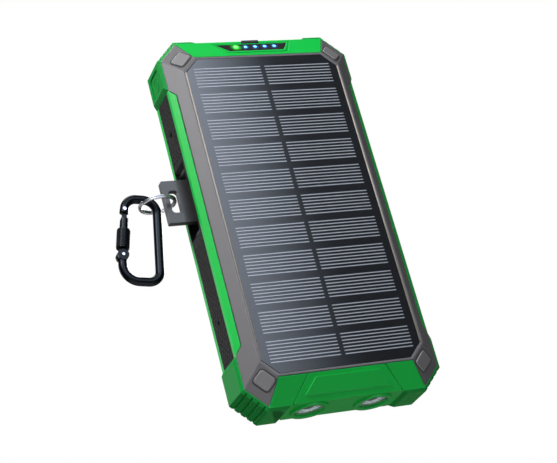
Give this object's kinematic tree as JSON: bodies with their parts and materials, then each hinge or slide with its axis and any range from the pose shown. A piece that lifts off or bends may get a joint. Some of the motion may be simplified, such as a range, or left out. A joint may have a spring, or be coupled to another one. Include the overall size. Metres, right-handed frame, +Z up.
{
  "type": "solar phone charger",
  "caption": "Rugged solar power bank with wireless charging pad, built-in flat charging cables, torch lights, rubber port cover and a hanging carabiner.",
  "frame": {"origin": "on the surface it stands on, below the middle of the case", "axes": "+Z up to the port end, -Y out of the solar face, +Y out of the wireless face, -X to the side with the carabiner"},
  "size_m": [0.1201, 0.0293, 0.1662],
  "materials": {
    "green_abs": "satin",
    "green_tpu": "satin",
    "grey_abs": "matte",
    "black_rubber": "matte",
    "glass": "gloss",
    "cells": "satin",
    "pad_grey": "satin",
    "smoked": "gloss",
    "led": "gloss",
    "steel": "satin",
    "black_steel": "satin",
    "chrome": "gloss",
    "ring_chrome": "gloss",
    "disc": "satin",
    "copper": "satin",
    "ferrite": "matte",
    "board": "satin",
    "cell_foil": "satin",
    "cable": "matte",
    "plug_plastic": "matte",
    "gold": "gloss",
    "clear_lens": "gloss",
    "lug_metal": "satin",
    "anodised": "satin",
    "button_green": "satin"
  },
  "bodies": {
    "root": {"mid_frame": "green_abs", "bumper_torch_left": "green_tpu", "bumper_torch_right": "green_tpu", "bumper_port_left": "green_tpu", "bumper_port_right": "green_tpu", "front_shell": "grey_abs", "rear_shell": "grey_abs", "grip_left": "black_rubber", "grip_right": "black_rubber", "solar_glass": "glass", "solar_cells": "cells", "solar_backsheet": "cells", "front_corner_pads": "pad_grey", "rear_corner_pads": "pad_grey", "led_window": "smoked", "indicator_leds": "led", "case_screws": "black_steel", "charging_ring": "ring_chrome", "charging_disc": "disc", "wireless_coil": "copper", "ferrite_sheet": "ferrite", "status_led": "led", "cable_clamp": "green_abs", "clamp_screws": "black_steel", "anchor_usb_a": "cable", "anchor_micro": "cable", "anchor_type_c": "cable", "anchor_slim": "cable", "usb_a_sockets": "steel", "type_c_socket": "steel", "torch_lenses": "clear_lens", "torch_reflectors": "chrome", "torch_leds": "led", "torch_board": "board", "main_board": "board", "battery_cells": "cell_foil", "button_switch": "steel", "lug": "lug_metal", "lug_pins": "steel"},
    "cable_usb_a_body": {"cable_usb_a": "cable", "plug_usb_a": "plug_plastic", "tip_usb_a": "plug_plastic", "usb_a_contacts": "gold"},
    "cable_micro_body": {"cable_micro": "cable", "plug_micro": "plug_plastic", "tip_micro": "steel"},
    "cable_type_c_body": {"cable_type_c": "cable", "plug_type_c": "plug_plastic", "tip_type_c": "steel"},
    "cable_slim_body": {"cable_slim": "cable", "plug_slim": "plug_plastic", "tip_slim": "steel"},
    "cover": {"port_cover": "black_rubber"},
    "button": {"power_button": "button_green"},
    "ring": {"split_ring": "chrome"},
    "carabiner": {"carabiner_body": "anodised", "gate_pin": "steel", "nose_pin": "chrome"},
    "gate": {"carabiner_gate": "anodised"},
    "sleeve": {"lock_sleeve": "anodised"}
  },
  "joints": [
    {"name": "lift_usb_a", "type": "hinge", "parent": "root", "child": "cable_usb_a_body", "pos_m": [-0.0184, 0.0144, 0.1496], "axis": [1, 0, 0], "range_deg": [0, 165]},
    {"name": "lift_micro", "type": "hinge", "parent": "root", "child": "cable_micro_body", "pos_m": [-0.00625, 0.0144, 0.1496], "axis": [1, 0, 0], "range_deg": [0, 165]},
    {"name": "lift_type_c", "type": "hinge", "parent": "root", "child": "cable_type_c_body", "pos_m": [0.00625, 0.0144, 0.1496], "axis": [1, 0, 0], "range_deg": [0, 165]},
    {"name": "lift_slim", "type": "hinge", "parent": "root", "child": "cable_slim_body", "pos_m": [0.0184, 0.0144, 0.1496], "axis": [1, 0, 0], "range_deg": [0, 165]},
    {"name": "cover_flap", "type": "hinge", "parent": "root", "child": "cover", "pos_m": [0, 0.0067, 0.1649], "axis": [-1, 0, 0], "range_deg": [0, 110]},
    {"name": "button_press", "type": "slide", "parent": "root", "child": "button", "axis": [1, 0, 0], "range_m": [0, 0.0005], "stiffness_N_per_m": 2000, "springref_m": -0.0004},
    {"name": "ring_swing", "type": "hinge", "parent": "root", "child": "ring", "pos_m": [-0.0507, 0.001, 0.0956], "axis": [0, 0, 1], "range_deg": [-40, 40]},
    {"name": "carabiner_swing", "type": "hinge", "parent": "ring", "child": "carabiner", "pos_m": [-0.0619, 0.001, 0.0956], "axis": [0, 1, 0], "range_deg": [-12, 45]},
    {"name": "gate_open", "type": "hinge", "parent": "carabiner", "child": "gate", "pos_m": [-0.07419, 0.001, 0.07426], "axis": [0, 1, 0], "range_deg": [0, 24], "stiffness_Nm_per_rad": 0.02, "springref_deg": -11.46},
    {"name": "sleeve_slide", "type": "slide", "parent": "gate", "child": "sleeve", "axis": [0.2568, 0, 0.9665], "range_m": [0, 0.003]}
  ]
}
